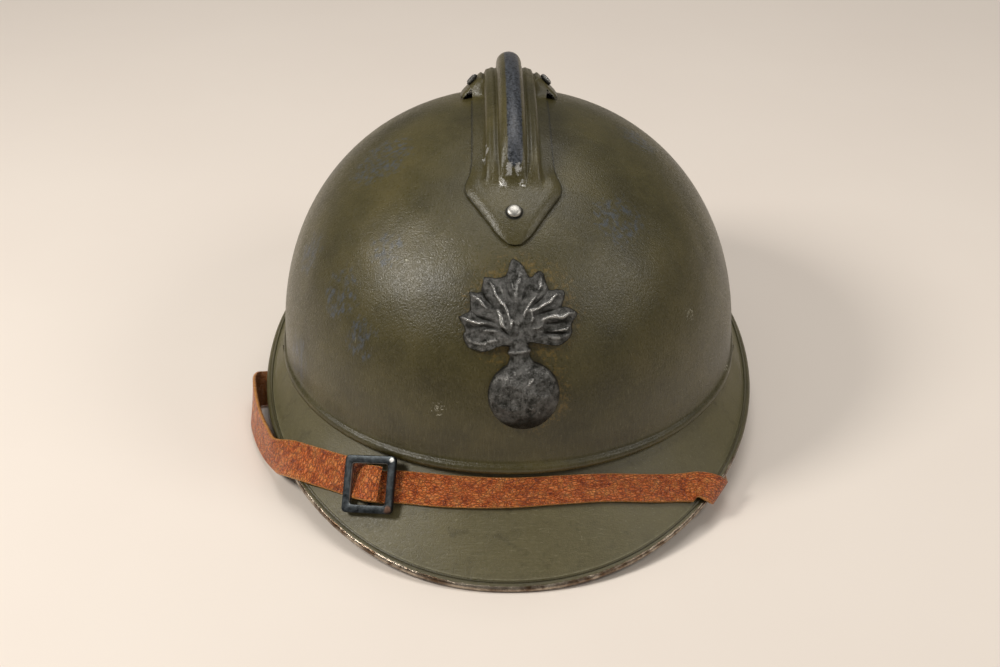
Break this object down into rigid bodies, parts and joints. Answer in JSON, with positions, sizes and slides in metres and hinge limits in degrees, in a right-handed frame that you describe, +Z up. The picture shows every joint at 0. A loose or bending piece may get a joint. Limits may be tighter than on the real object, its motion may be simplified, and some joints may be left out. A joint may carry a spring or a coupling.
{
  "type": "steel helmet",
  "caption": "Old steel helmet with a raised crest, a flaming grenade badge, a rolled bead, a sloping brim and a leather chin strap buckled over the visor.",
  "frame": {"origin": "centre of the bounding box in plan, at the height of the table the brim's tips rest on", "axes": "+Z up out of the crown, -Y towards the visor's tip, +X to the wearer's left as the visor faces the viewer"},
  "size_m": [0.2281, 0.2917, 0.1509],
  "materials": {
    "khaki_paint": "satin khaki over a blue undercoat, worn to brown steel on the edge",
    "dark_badge_steel": "dark bare metal with burnished ridges",
    "brown_leather": "crackled brown leather with a low gloss",
    "blackened_steel": "blackened, worn bright on its corners",
    "bare_rivet_steel": "bare, a little dull"
  },
  "bodies": {
    "root": {"bowl": "khaki_paint", "visor": "khaki_paint", "neck_guard": "khaki_paint", "edge_binding": "khaki_paint", "crest": "khaki_paint", "rivet_front": "bare_rivet_steel", "rivet_rear": "bare_rivet_steel", "rivet_left": "bare_rivet_steel", "rivet_right": "bare_rivet_steel", "badge": "dark_badge_steel", "strap_left": "brown_leather", "strap_right": "brown_leather", "buckle": "blackened_steel", "ring_left": "blackened_steel", "ring_right": "blackened_steel"}
  },
  "joints": []
}
